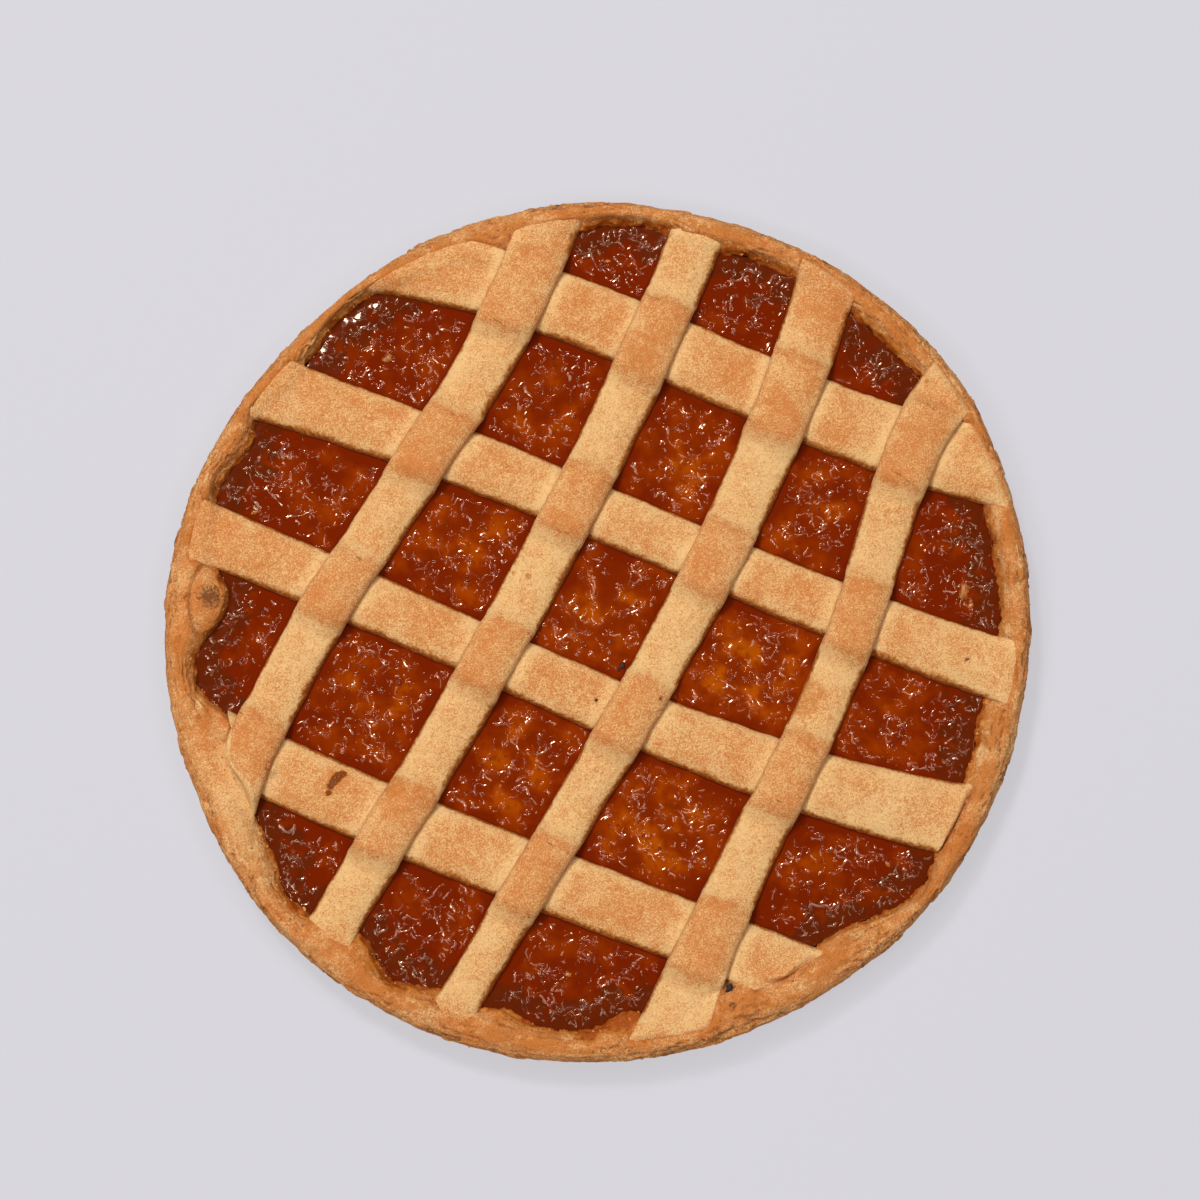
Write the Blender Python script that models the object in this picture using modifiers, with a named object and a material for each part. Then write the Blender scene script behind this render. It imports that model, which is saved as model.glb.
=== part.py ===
# An apricot crostata: a low, slightly oval pastry crust filled with jam, under a
# lattice of four strips laid one way and four more laid over them.
# Lengths are in millimetres here and become metres in to_mesh.
# Azimuths are in degrees, counter-clockwise from +X, seen from above.

import math

import bmesh
import bpy

MM = 0.001

# The tart seen from above
TART_RADIUS = 130.0
OVAL_SHARE = 0.013
OVAL_AZIMUTH = 40.0
RIM_WIDTH = 9.5
# Hand-made unevenness: (azimuth, half width in degrees, change in mm)
EDGE_BULGES = [(36, 22, 1.0), (72, 18, -1.0), (137, 24, -1.3), (203, 22, -1.1), (324, 30, 1.1)]
RIM_SPREADS = [(66, 10, -1.0), (86, 12, -3.0), (128, 14, -4.8), (147, 5, -3.0), (159, 5, -2.5)]
RIM_SPREADS += [(176, 9, 7.0), (195, 7, 7.5), (203, 8, 6.5), (214, 7, 2.5), (232, 9, 6.2)]
RIM_SPREADS += [(247, 7, 3.6), (256, 7, 3.4), (275, 7, 4.6), (305, 12, 4.5), (321, 9, -3.8)]
RIM_SPREADS += [(345, 14, 2.3)]
RIM_HOLLOWS = [(52, 14, -0.7), (118, 17, -0.5), (196, 15, -0.8), (262, 22, -0.6), (338, 20, -0.5)]

# Levels above the table
BASE_THICKNESS = 5.0
JAM_LEVEL = 11.3
RIM_TOP = 17.4
STRIP_THICKNESS = 3.9
GAP = 0.35

# The dough flap folded over the rim's inner edge
FLAP_AZIMUTH = 175.5
FLAP_RADIUS = 116.8
FLAP_LENGTH = 20.5
FLAP_WIDTH = 10.0
FLAP_HEIGHT = 1.4

# The wall's half section, as (distance from the rim's inner edge or outer edge, height)
INNER_WALL = [(-13.0, BASE_THICKNESS), (-4.0, 6.3), (-1.2, 8.6), (0.0, JAM_LEVEL), (1.5, 14.4)]
RIM_LAYERS = [(3.1, 16.5), (4.4, RIM_TOP), (5.5, 16.6), (6.6, 17.0)]
OUTER_WALL = [(-1.1, 15.2), (0.0, 12.4), (-0.5, 7.4), (-2.0, 2.2), (-3.8, 0.0)]
TURN_STEPS = 120

# Strips: a centreline and a width that follow a polynomial in q = distance along / 100 mm.
# line is [offset, lean, bow, sway] and, for the most bent one, two more powers; width is
# [mean, taper, flare] likewise; trim is the radius at which the two ends are cut off.
TOP_AZIMUTH = 62.0
TOP_STRIPS = [
    {"line": [72.24, -9.53, -1.05, 9.05], "width": [16.07, 1.67, 1.14], "trim": [118.0, 125.5]},
    {"line": [23.66, -0.44, 3.59, 0.69], "width": [16.05, 0.61, -0.21], "trim": [123.5, 124.5]},
    {"line": [-21.70, -1.97, 4.83, 2.16], "width": [15.70, 2.42, 0.19], "trim": [123.5, 127.5]},
    {"line": [-71.28, 4.35, 9.61, 11.72, -5.70, -7.31],
     "width": [14.99, -0.59, 3.54, -1.05, 0.50], "trim": [124.0, 127.5]},
]
CROSS_AZIMUTH = -22.0
CROSS_STRIPS = [
    {"line": [86.65, -3.11, -1.04, 8.54], "width": [20.30, 0.84, 2.2], "trim": [126.0, 127.0]},
    {"line": [32.40, -1.31, -0.45, 2.02], "width": [16.83, -0.36, 2.04], "trim": [125.0, 127.0]},
    {"line": [-20.60, -2.21, 3.43, 2.79], "width": [17.20, 1.67, 2.21], "trim": [127.0, 122.0]},
    {"line": [-76.34, 2.01, 2.69, -1.92], "width": [19.68, -0.70, -0.86], "trim": [110.0, 118.5]},
]

# A strip's cross-section: (share of the half width, share of the thickness)
SECTION = [(-0.9, 0.0), (-1.0, 0.35), (-0.86, 0.86), (-0.4, 1.0)]
SECTION += [(-side, height) for side, height in reversed(SECTION)]
END_THICKNESS = 2.0
# A strip's seat in the crust is this much wider on each side
SEAT_GAP = 0.49
# Ends are cut askew, so their seats need more than the side gap along the strip
END_CLEARANCE = 2.4
# Length over which a strip's rings turn from square across to along its askew end
SKEW_LENGTH = 27.0
# Beyond a crossed strip, a top strip comes down to the jam over this length
BEND_LENGTH = 8.0
BEND_STEPS = 3
CROSS_STEP = 7.5
END_STEPS = [0.0, 2.5, 5.5, 9.5]

CRUST_COLOR = (0.58, 0.30, 0.105)
LATTICE_COLOR = (0.68, 0.39, 0.155)
JAM_COLOR = (0.30, 0.05, 0.006)


def smooth(start, end, value):
    share = min(max((value - start) / (end - start), 0.0), 1.0)
    return share * share * (3.0 - 2.0 * share)


def mix(first, second, share):
    return first + (second - first) * share


def sum_of_humps(azimuth, humps):
    total = 0.0
    for center, half_width, change in humps:
        apart = abs((azimuth - center + 180.0) % 360.0 - 180.0)
        total += change * (1.0 - smooth(0.0, half_width, apart))
    return total


def outer_edge(azimuth):
    oval = OVAL_SHARE * math.cos(2.0 * math.radians(azimuth - OVAL_AZIMUTH))
    return TART_RADIUS * (1.0 + oval) + sum_of_humps(azimuth, EDGE_BULGES)


def inner_edge(azimuth):
    return outer_edge(azimuth) - RIM_WIDTH - sum_of_humps(azimuth, RIM_SPREADS)


def polar(x, y):
    return math.hypot(x, y), math.degrees(math.atan2(y, x))


def polynomial(factors, q):
    return sum(factor * q**power for power, factor in enumerate(factors))


def center_of_outline():
    edge = []
    for step in range(TURN_STEPS):
        azimuth = 360.0 * step / TURN_STEPS
        turn = math.radians(azimuth)
        edge.append((outer_edge(azimuth) * math.cos(turn), outer_edge(azimuth) * math.sin(turn)))
    return [(min(side) + max(side)) / 2.0 for side in zip(*edge)]


class Strip:
    def __init__(self, name, azimuth, shape, crossed):
        turn = math.radians(azimuth)
        self.name = name
        self.along = (math.cos(turn), math.sin(turn))
        self.across = (-math.sin(turn), math.cos(turn))
        self.shape = shape
        self.crossed = crossed
        self.ends = [[self.reach(side, end) for side, _ in SECTION] for end in (0, 1)]
        self.middle_ends = [self.reach(0.0, end) for end in (0, 1)]

    def half_width(self, s):
        return polynomial(self.shape["width"], s / 100.0) / 2.0

    # The point at distance s along the strip, side half widths off its centreline
    def point(self, s, side, extra=0.0):
        offset = polynomial(self.shape["line"], s / 100.0)
        offset += side * (self.half_width(s) + extra)
        x = s * self.along[0] + offset * self.across[0]
        y = s * self.along[1] + offset * self.across[1]
        return x, y

    # How far along the strip and how far off its centreline a point lies
    def locate(self, x, y):
        s = x * self.along[0] + y * self.along[1]
        offset = x * self.across[0] + y * self.across[1]
        return s, offset - polynomial(self.shape["line"], s / 100.0)

    # The distance along at which an edge line meets the radius where the end is cut
    def reach(self, side, end):
        s = (-100.0, 100.0)[end]
        for _ in range(12):
            x, y = self.point(s, side)
            radius = math.hypot(x, y)
            slope = (x * self.along[0] + y * self.along[1]) / radius
            s += (self.shape["trim"][end] - radius) / slope
        return s

    # Where this strip's centreline crosses another's
    def crossing(self, other):
        s = 0.0
        for _ in range(20):
            x, y = self.point(s, 0.0)
            _, off = other.locate(x, y)
            s -= off / (self.along[0] * other.across[0] + self.along[1] * other.across[1])
        return s

    # 1 under a top strip where it lies on this one, falling to 0 beyond its edges
    def lift(self, x, y):
        s, off = self.locate(x, y)
        half_width = self.half_width(s)
        beside = 1.0 - smooth(half_width - 1.0, half_width + BEND_LENGTH, abs(off))
        beyond = math.hypot(x, y) - self.shape["trim"][s > 0.0]
        return beside * (1.0 - smooth(2.0, 2.0 + BEND_LENGTH, beyond))

    # Height of the underside and thickness of the dough over a point
    def underside(self, x, y):
        radius, azimuth = polar(x, y)
        inner = inner_edge(azimuth)
        rise = smooth(inner - 2.0, inner + 5.0, radius)
        thickness = mix(STRIP_THICKNESS, END_THICKNESS, rise)
        height = mix(JAM_LEVEL + GAP, RIM_TOP + 0.3 - END_THICKNESS, rise)
        for other in self.crossed:
            top = other.top(x, y) + GAP
            height = max(height, mix(JAM_LEVEL + GAP, top, other.lift(x, y)))
        return height, thickness

    def top(self, x, y):
        height, thickness = self.underside(x, y)
        return height + thickness

    def stations(self):
        first, last = self.middle_ends
        marks = [first + step for step in END_STEPS] + [last - step for step in END_STEPS]
        if not self.crossed:
            count = round((last - first - 2.0 * END_STEPS[-1]) / CROSS_STEP)
            start = first + END_STEPS[-1]
            stop = last - END_STEPS[-1]
            marks += [mix(start, stop, step / count) for step in range(1, count)]
        crossings = [self.crossing(other) for other in self.crossed]
        for center, other in zip(crossings, self.crossed):
            flat = other.half_width(0.0) - 1.0
            marks.append(center)
            for step in range(BEND_STEPS + 1):
                away = flat + (BEND_LENGTH + 1.0) * step / BEND_STEPS
                marks += [center - away, center + away]
        marks += [(one + two) / 2.0 for one, two in zip(crossings, crossings[1:])]
        kept = [first]
        for mark in sorted(marks):
            if kept[-1] + 1.8 < mark < last - 1.8:
                kept.append(mark)
        return kept + [last]

    # One ring of points round the strip; grow makes it fatter all round, head taller
    def ring(self, s, grow, head):
        first, last = self.middle_ends
        ring = []
        for index, (side, height) in enumerate(SECTION):
            shift = (self.ends[0][index] - first) * (1.0 - smooth(first, first + SKEW_LENGTH, s))
            shift += (self.ends[1][index] - last) * smooth(last - SKEW_LENGTH, last, s)
            x, y = self.point(s + shift, side)
            under, thickness = self.underside(x, y)
            z = under + height * thickness - grow * (height == 0.0) + head * (height > 0.5)
            shift += END_CLEARANCE * grow * ((s == last) - (s == first))
            x, y = self.point(s + shift, side, grow)
            ring.append((x, y, z))
        return ring


def make_material(name, color, roughness):
    material = bpy.data.materials.new(name)
    material.use_nodes = True
    shader = material.node_tree.nodes["Principled BSDF"]
    shader.inputs["Base Color"].default_value = (*color, 1.0)
    shader.inputs["Roughness"].default_value = roughness
    shader.inputs["Metallic"].default_value = 0.0
    return material


def add_object(name, mesh, collection):
    node = bpy.data.objects.new(name, mesh)
    collection.objects.link(node)
    return node


# Millimetres in the tart's own outline become metres about the middle of its box
def to_mesh(build, name, middle):
    for vert in build.verts:
        vert.co.x = (vert.co.x - middle[0]) * MM
        vert.co.y = (vert.co.y - middle[1]) * MM
        vert.co.z = vert.co.z * MM
    bmesh.ops.recalc_face_normals(build, faces=build.faces)
    mesh = bpy.data.meshes.new(name)
    build.to_mesh(mesh)
    build.free()
    mesh.shade_smooth()
    mesh.set_sharp_from_angle(angle=math.radians(40.0))
    return mesh


# A profile in the XZ plane turned about Z, as a bmesh in millimetres
def turned(name, profile):
    mesh = bpy.data.meshes.new(name)
    edges = [(index, index + 1) for index in range(len(profile) - 1)]
    mesh.from_pydata([(radius, 0.0, z) for radius, z in profile], edges, [])
    outline = bpy.data.objects.new(name, mesh)
    bpy.context.scene.collection.objects.link(outline)
    screw = outline.modifiers.new("turn", "SCREW")
    screw.steps = TURN_STEPS
    screw.render_steps = TURN_STEPS
    screw.use_merge_vertices = True
    screw.merge_threshold = 0.0001
    body = outline.evaluated_get(bpy.context.evaluated_depsgraph_get())
    build = bmesh.new()
    build.from_mesh(body.to_mesh())
    body.to_mesh_clear()
    bpy.data.objects.remove(outline)
    bpy.data.meshes.remove(mesh)
    return build


# Moves a turned point to the tart's own oval and uneven outline
def shift_radius(radius, azimuth, outside):
    middle = TART_RADIUS - RIM_WIDTH
    if outside:
        return radius + outer_edge(azimuth) - TART_RADIUS
    if radius < middle:
        inward = smooth(0.0, middle - 12.0, radius)
        return radius + (inner_edge(azimuth) - middle) * inward
    share = (radius - middle) / RIM_WIDTH
    return mix(inner_edge(azimuth), outer_edge(azimuth), share)


def crust_profile():
    middle = TART_RADIUS - RIM_WIDTH
    profile = [(0.0, BASE_THICKNESS)]
    profile += [(middle + away, z) for away, z in INNER_WALL + RIM_LAYERS]
    profile += [(TART_RADIUS + away, z) for away, z in OUTER_WALL]
    return profile + [(0.0, 0.0)]


def flap_height(x, y):
    radius, azimuth = polar(x, y)
    along = math.radians((azimuth - FLAP_AZIMUTH + 180.0) % 360.0 - 180.0) * FLAP_RADIUS
    away = math.hypot(along / (FLAP_LENGTH / 2.0), (radius - FLAP_RADIUS) / (FLAP_WIDTH / 2.0))
    return FLAP_HEIGHT * (1.0 - smooth(0.7, 1.3, away))


def make_crust(middle):
    build = turned("crust", crust_profile())
    for vert in build.verts:
        radius, azimuth = polar(vert.co.x, vert.co.y)
        outside = vert.co.z < 0.9 * BASE_THICKNESS
        radius = shift_radius(radius, azimuth, outside)
        vert.co.x = radius * math.cos(math.radians(azimuth))
        vert.co.y = radius * math.sin(math.radians(azimuth))
        share = smooth(JAM_LEVEL, RIM_TOP, vert.co.z)
        vert.co.z += share * (sum_of_humps(azimuth, RIM_HOLLOWS) + flap_height(vert.co.x, vert.co.y))
    return to_mesh(build, "crust", middle)


# The jam fills the crust up to its level, sinking a little towards the rim
def make_jam(middle):
    inner = TART_RADIUS - RIM_WIDTH
    wall = [(inner + away - GAP * 1.2, z + GAP * 0.8) for away, z in INNER_WALL[:3]]
    sunk = JAM_LEVEL - 0.3
    profile = [(0.0, JAM_LEVEL), (inner * 0.45, JAM_LEVEL - 0.15), (inner * 0.8, JAM_LEVEL)]
    profile += [(inner - 0.5, sunk)] + wall[::-1] + [(0.0, BASE_THICKNESS + GAP)]
    build = turned("apricot_jam", profile)
    for vert in build.verts:
        radius, azimuth = polar(vert.co.x, vert.co.y)
        radius = shift_radius(radius, azimuth, False)
        vert.co.x = radius * math.cos(math.radians(azimuth))
        vert.co.y = radius * math.sin(math.radians(azimuth))
    return to_mesh(build, "apricot_jam", middle)


# A closed loft through the strip's rings
def make_strip(strip, middle, grow=0.0, head=0.0):
    build = bmesh.new()
    rings = []
    for s in strip.stations():
        rings.append([build.verts.new(point) for point in strip.ring(s, grow, head)])
    count = len(SECTION)
    for one, two in zip(rings, rings[1:]):
        for index in range(count):
            after = (index + 1) % count
            build.faces.new((one[index], one[after], two[after], two[index]))
    build.faces.new(rings[0])
    build.faces.new(rings[-1])
    return to_mesh(build, strip.name, middle)


# Strips are pressed into the rim, which a fatter and taller copy of each cuts away
def press_into(crust, strips, middle, cutters):
    for strip in strips:
        cutter = add_object(strip.name + "_seat", make_strip(strip, middle, SEAT_GAP, 8.0), cutters)
        cutter.hide_render = True
        cutter.display_type = "WIRE"
        seat = crust.modifiers.new(strip.name, "BOOLEAN")
        seat.operation = "DIFFERENCE"
        seat.solver = "EXACT"
        seat.object = cutter


def main():
    for old in list(bpy.data.objects):
        bpy.data.objects.remove(old)
    tart = bpy.data.collections.new("apricot_crostata")
    cutters = bpy.data.collections.new("cutters")
    bpy.context.scene.collection.children.link(tart)
    bpy.context.scene.collection.children.link(cutters)
    middle = center_of_outline()

    crossed = []
    for number, shape in enumerate(CROSS_STRIPS, 1):
        crossed.append(Strip(f"cross_strip_{number}", CROSS_AZIMUTH, shape, []))
    strips = list(crossed)
    for number, shape in enumerate(TOP_STRIPS, 1):
        strips.append(Strip(f"top_strip_{number}", TOP_AZIMUTH, shape, crossed))

    crust = add_object("crust", make_crust(middle), tart)
    crust.data.materials.append(make_material("crust_pastry", CRUST_COLOR, 0.75))
    jam = add_object("apricot_jam", make_jam(middle), tart)
    jam.data.materials.append(make_material("apricot_jam", JAM_COLOR, 0.15))
    lattice = make_material("lattice_pastry", LATTICE_COLOR, 0.7)
    nodes = [crust, jam]
    for strip in strips:
        node = add_object(strip.name, make_strip(strip, middle), tart)
        node.data.materials.append(lattice)
        nodes.append(node)
    press_into(crust, strips, middle, cutters)

    whole = bpy.data.objects.new("apricot_crostata", None)
    tart.objects.link(whole)
    for node in nodes:
        node.parent = whole


main()
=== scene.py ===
import math

import bmesh
import bpy
import numpy as np
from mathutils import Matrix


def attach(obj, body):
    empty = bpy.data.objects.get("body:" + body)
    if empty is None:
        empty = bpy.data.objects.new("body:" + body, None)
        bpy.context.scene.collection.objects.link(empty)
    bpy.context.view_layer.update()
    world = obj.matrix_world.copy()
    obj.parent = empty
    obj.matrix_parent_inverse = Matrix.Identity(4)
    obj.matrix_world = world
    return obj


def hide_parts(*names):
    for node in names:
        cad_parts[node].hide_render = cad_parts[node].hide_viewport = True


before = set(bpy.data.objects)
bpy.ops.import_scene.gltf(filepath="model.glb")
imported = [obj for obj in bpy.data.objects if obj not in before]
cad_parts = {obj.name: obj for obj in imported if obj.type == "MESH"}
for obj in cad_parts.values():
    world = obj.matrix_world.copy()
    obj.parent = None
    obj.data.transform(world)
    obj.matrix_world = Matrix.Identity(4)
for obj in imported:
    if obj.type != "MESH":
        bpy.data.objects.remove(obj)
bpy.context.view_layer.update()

# Apricot crostata. Lengths are in millimetres and azimuths in degrees from +X,
# counter-clockwise from above; makeMesh turns millimetres into metres.
mm = 0.001

tart = {
    "radius": 130.0,
    "ovalShare": 0.013,
    "ovalAzimuth": 40.0,
    "rimWidth": 9.5,
    # hand-made unevenness: (azimuth, half width, change in mm)
    "edgeBulges": [(36, 22, 1.0), (72, 18, -1.0), (137, 24, -1.3), (203, 22, -1.1), (324, 30, 1.1)],
    "rimSpreads": [(66, 10, -1.0), (86, 12, -3.0), (128, 14, -4.8), (147, 5, -3.0), (159, 5, -2.5),
                   (176, 9, 9.0), (195, 7, 7.5), (205, 9, 7.0), (214, 7, 3.0), (232, 9, 6.2),
                   (247, 7, 3.6), (256, 7, 3.4), (275, 7, 4.6), (305, 12, 4.5), (321, 9, -3.8),
                   (345, 14, 2.3), (105, 8, 6.0), (291, 8, 9.0)],
    "rimHollows": [(52, 14, -0.7), (118, 17, -0.5), (196, 15, -0.8), (262, 22, -0.6), (338, 20, -0.5)],
    "outlineSteps": 120,
    "floor": 5.0,
    "jamLevel": 11.3,
    "rimTop": 17.4,
    "gap": 0.35,
}


def smooth(start, end, value):
    share = np.clip((value - start) / (end - start), 0.0, 1.0)
    return share * share * (3.0 - 2.0 * share)


def mix(first, second, share):
    return first + (second - first) * share


# Gradient noise on a lattice of random directions, about -1 to 1. Where z is a bare number,
# it only keeps one use apart from another
class Noise:
    def __init__(self, seed, cells=48):
        directions = np.random.default_rng(seed).normal(size=(cells, cells, cells, 3))
        directions /= np.linalg.norm(directions, axis=3, keepdims=True)
        self.directions = directions.astype(np.float32)
        self.cells = cells

    def at(self, x, y, z, size):
        place = np.stack(np.broadcast_arrays(x, y, z), axis=-1) / size + 7.31
        corner = np.floor(place).astype(int)
        inside = (place - corner).astype(np.float32)
        fade = inside**3 * (inside * (inside * 6.0 - 15.0) + 10.0)
        total = 0.0
        for step in np.ndindex(2, 2, 2):
            index = (corner + step) % self.cells
            direction = self.directions[index[..., 0], index[..., 1], index[..., 2]]
            weight = np.prod(np.where(np.array(step) == 1, fade, 1.0 - fade), axis=-1)
            total = total + weight * np.sum(direction * (inside - np.array(step)), axis=-1)
        return total * 1.6

    # Octaves that halve in size and height
    def rough(self, x, y, z, size, octaves=3):
        total = 0.0
        for octave in range(octaves):
            total = total + self.at(x + 31.7 * octave, y, z, size / 2**octave) / 2**octave
        return total


def polar(x, y):
    return np.hypot(x, y), np.degrees(np.arctan2(y, x))


def sumOfHumps(azimuth, humps):
    total = np.zeros_like(azimuth)
    for center, halfWidth, change in humps:
        apart = np.abs((azimuth - center + 180.0) % 360.0 - 180.0)
        total += change * (1.0 - smooth(0.0, halfWidth, apart))
    return total


def outerEdge(azimuth):
    oval = tart["ovalShare"] * np.cos(2.0 * np.radians(azimuth - tart["ovalAzimuth"]))
    return tart["radius"] * (1.0 + oval) + sumOfHumps(azimuth, tart["edgeBulges"])


def innerEdge(azimuth):
    return outerEdge(azimuth) - tart["rimWidth"] - sumOfHumps(azimuth, tart["rimSpreads"])


# The rules above are about the pan's middle, and the frame's origin is the outline's middle
def outlineMiddle():
    azimuth = np.arange(tart["outlineSteps"]) * 360.0 / tart["outlineSteps"]
    edge = outerEdge(azimuth)
    across = edge * np.cos(np.radians(azimuth))
    up = edge * np.sin(np.radians(azimuth))
    return (across.min() + across.max()) / 2.0, (up.min() + up.max()) / 2.0


middle = outlineMiddle()


# A mesh from rows of points in mm, its faces as corner numbers, and values to carry
def makeMesh(name, points, faces, carried):
    mesh = bpy.data.meshes.new(name)
    placed = (np.asarray(points) - [middle[0], middle[1], 0.0]) * mm
    mesh.from_pydata(placed.tolist(), [], faces)
    for key, values in carried.items():
        layer = mesh.attributes.new(key, "FLOAT", "POINT")
        layer.data.foreach_set("value", np.asarray(values, dtype=np.float32).ravel())
    mesh.shade_smooth()
    piece = bpy.data.objects.new(name, mesh)
    bpy.context.scene.collection.objects.link(piece)
    return piece


# Corner numbers of the quads between rows of points, each row joined end to start
def gridFaces(rows, columns):
    row, column = np.meshgrid(np.arange(rows - 1), np.arange(columns), indexing="ij")
    after = (column + 1) % columns
    quads = np.stack([row * columns + column, row * columns + after,
                      (row + 1) * columns + after, (row + 1) * columns + column], axis=-1).reshape(-1, 4)
    return quads.tolist()


# Strips of dough: four flat ones, and four steep ones laid over them
strips = {
    "topAzimuth": 62.0,
    "crossAzimuth": -22.0,
    # centreline and width as polynomials of the distance along / 100 mm, and the radius at
    # which each end is cut off. proud: how far each end stays above the rim, from 0 to 1.
    # browned: how dark the upper end bakes
    "top": [
        {"line": [72.24, -9.53, -1.05, 9.05], "width": [16.07, 1.67, 1.14], "trim": [118.0, 125.5],
         "browned": 0.8},
        {"line": [23.66, -0.44, 3.59, 0.69], "width": [16.05, 0.61, -0.21], "trim": [123.5, 124.5]},
        {"line": [-21.70, -1.97, 4.83, 2.16], "width": [15.70, 2.42, 0.19], "trim": [123.5, 128.6],
         "proud": [0.0, 0.8], "browned": 0.9},
        {"line": [-71.28, 4.35, 9.61, 11.72, -5.70, -7.31], "width": [14.99, -0.59, 3.54, -1.05, 0.50],
         "trim": [124.0, 130.0], "proud": [0.7, 0.8], "browned": 0.8},
    ],
    "cross": [
        {"line": [86.65, -3.11, -1.04, 8.54], "width": [20.30, 0.84, 2.2], "trim": [126.0, 129.2],
         "proud": [0.0, 0.6]},
        {"line": [32.40, -1.31, -0.45, 2.02], "width": [16.83, -0.36, 2.04], "trim": [125.0, 127.0]},
        {"line": [-20.60, -2.21, 3.43, 2.79], "width": [17.20, 1.67, 2.21], "trim": [127.0, 122.0],
         "proud": [0.0, 1.0]},
        {"line": [-76.34, 2.01, 2.69, -1.92], "width": [19.68, -0.70, -0.86], "trim": [114.0, 118.5],
         "proud": [0.0, 1.0]},
    ],
    "thickness": 3.9,
    "meanHalfWidth": 7.6,
    "endThickness": 2.0,
    "bend": 8.0,
    "step": 0.62,
    "around": 44,
    "squareness": 2.35,
    "sunk": 0.9,
    "skew": 27.0,
    # jam that has wetted or dropped on the dough: x, y, radius, strength
    "wet": [(12.5, 83.6, 6.5, 0.5), (60.7, -20.3, 8.0, 0.6), (-59.8, -47.4, 4.5, 0.55),
            (-25.2, 16.4, 1.0, 0.8), (-20.7, 15.2, 1.3, 0.8), (99.5, 74.7, 1.0, 1.0),
            (-76.3, -44.1, 1.3, 2.8), (-77.7, -45.0, 1.7, 2.8), (-79.1, -46.4, 1.5, 2.8),
            (-80.1, -48.2, 1.3, 2.8), (-80.4, -49.9, 1.2, 2.8)],
    # burnt specks: x, y, radius
    "burns": [(-0.5, -22.1, 0.5), (18.8, -21.8, 0.6), (110.6, -9.9, 0.5), (111.3, -9.6, 0.4)],
}


class Strip:
    def __init__(self, name, azimuth, shape, crossed, seed):
        turn = math.radians(azimuth)
        self.name = name
        self.along = (math.cos(turn), math.sin(turn))
        self.across = (-math.sin(turn), math.cos(turn))
        self.shape = shape
        self.crossed = crossed
        self.seed = seed
        self.ends = [self.reach(np.zeros(1), end)[0] for end in (0, 1)]

    def halfWidth(self, s):
        return np.polynomial.polynomial.polyval(s / 100.0, self.shape["width"]) / 2.0

    def offset(self, s):
        return np.polynomial.polynomial.polyval(s / 100.0, self.shape["line"])

    def point(self, s, side, extra=0.0):
        off = self.offset(s) + side * (self.halfWidth(s) + extra)
        return s * self.along[0] + off * self.across[0], s * self.along[1] + off * self.across[1]

    def locate(self, x, y):
        s = x * self.along[0] + y * self.along[1]
        return s, x * self.across[0] + y * self.across[1] - self.offset(s)

    def reach(self, side, end):
        s = np.full_like(side, (-100.0, 100.0)[end])
        for _ in range(12):
            x, y = self.point(s, side)
            radius = np.hypot(x, y)
            s = s + (self.shape["trim"][end] - radius) * radius / (x * self.along[0] + y * self.along[1])
        return s

    def crossing(self, other):
        s = 0.0
        for _ in range(20):
            _, off = other.locate(*self.point(s, 0.0))
            s -= off / (self.along[0] * other.across[0] + self.along[1] * other.across[1])
        return s

    # How far inside the strip's edges and its cut ends a point is
    def inside(self, x, y):
        s, off = self.locate(x, y)
        trim = np.where(s > 0.0, self.shape["trim"][1], self.shape["trim"][0])
        return self.halfWidth(s) - np.abs(off), trim - np.hypot(x, y)

    def proud(self, s):
        ends = self.shape.get("proud", [0.0, 0.0])
        return np.where(s > 0.0, ends[1], ends[0])

    def lift(self, x, y):
        s, off = self.locate(x, y)
        half = self.halfWidth(s)
        beside = 1.0 - smooth(half - 1.0, half + strips["bend"], np.abs(off))
        trim = np.where(s > 0.0, self.shape["trim"][1], self.shape["trim"][0])
        return beside * (1.0 - smooth(2.0, 2.0 + strips["bend"], np.hypot(x, y) - trim))

    def underside(self, x, y):
        radius, azimuth = polar(x, y)
        inner = innerEdge(azimuth)
        rise = smooth(inner - 2.0, inner + 5.0, radius)
        onJam = tart["jamLevel"] + tart["gap"]
        thickness = mix(strips["thickness"], strips["endThickness"], rise)
        height = mix(onJam, tart["rimTop"] + 0.3 - strips["endThickness"], rise)
        for other in self.crossed:
            low, thick = other.underside(x, y)
            height = np.maximum(height, mix(onJam, low + thick + tart["gap"], other.lift(x, y)))
        return height, thickness


def makeStrips():
    cross = []
    for number, shape in enumerate(strips["cross"], 1):
        cross.append(Strip(f"cross_strip_{number}", strips["crossAzimuth"], shape, [], number))
    top = []
    for number, shape in enumerate(strips["top"], 1):
        top.append(Strip(f"top_strip_{number}", strips["topAzimuth"], shape, cross, number + 4))
    return cross, top


crossStrips, topStrips = makeStrips()
allStrips = crossStrips + topStrips


# The upper half of a rounded bar's section: shares of the half width and of the thickness
def barSection(count):
    turn = np.linspace(0.0, math.pi, 721)
    power = 2.0 / strips["squareness"]
    side = -np.sign(np.cos(turn)) * np.abs(np.cos(turn)) ** power
    height = np.abs(np.sin(turn)) ** power
    steps = np.hypot(np.diff(side) * strips["meanHalfWidth"], np.diff(height) * strips["thickness"])
    walked = np.concatenate([[0.0], np.cumsum(steps)])
    even = np.linspace(0.0, walked[-1], count)
    return np.interp(even, walked, side), np.interp(even, walked, height)


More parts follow.
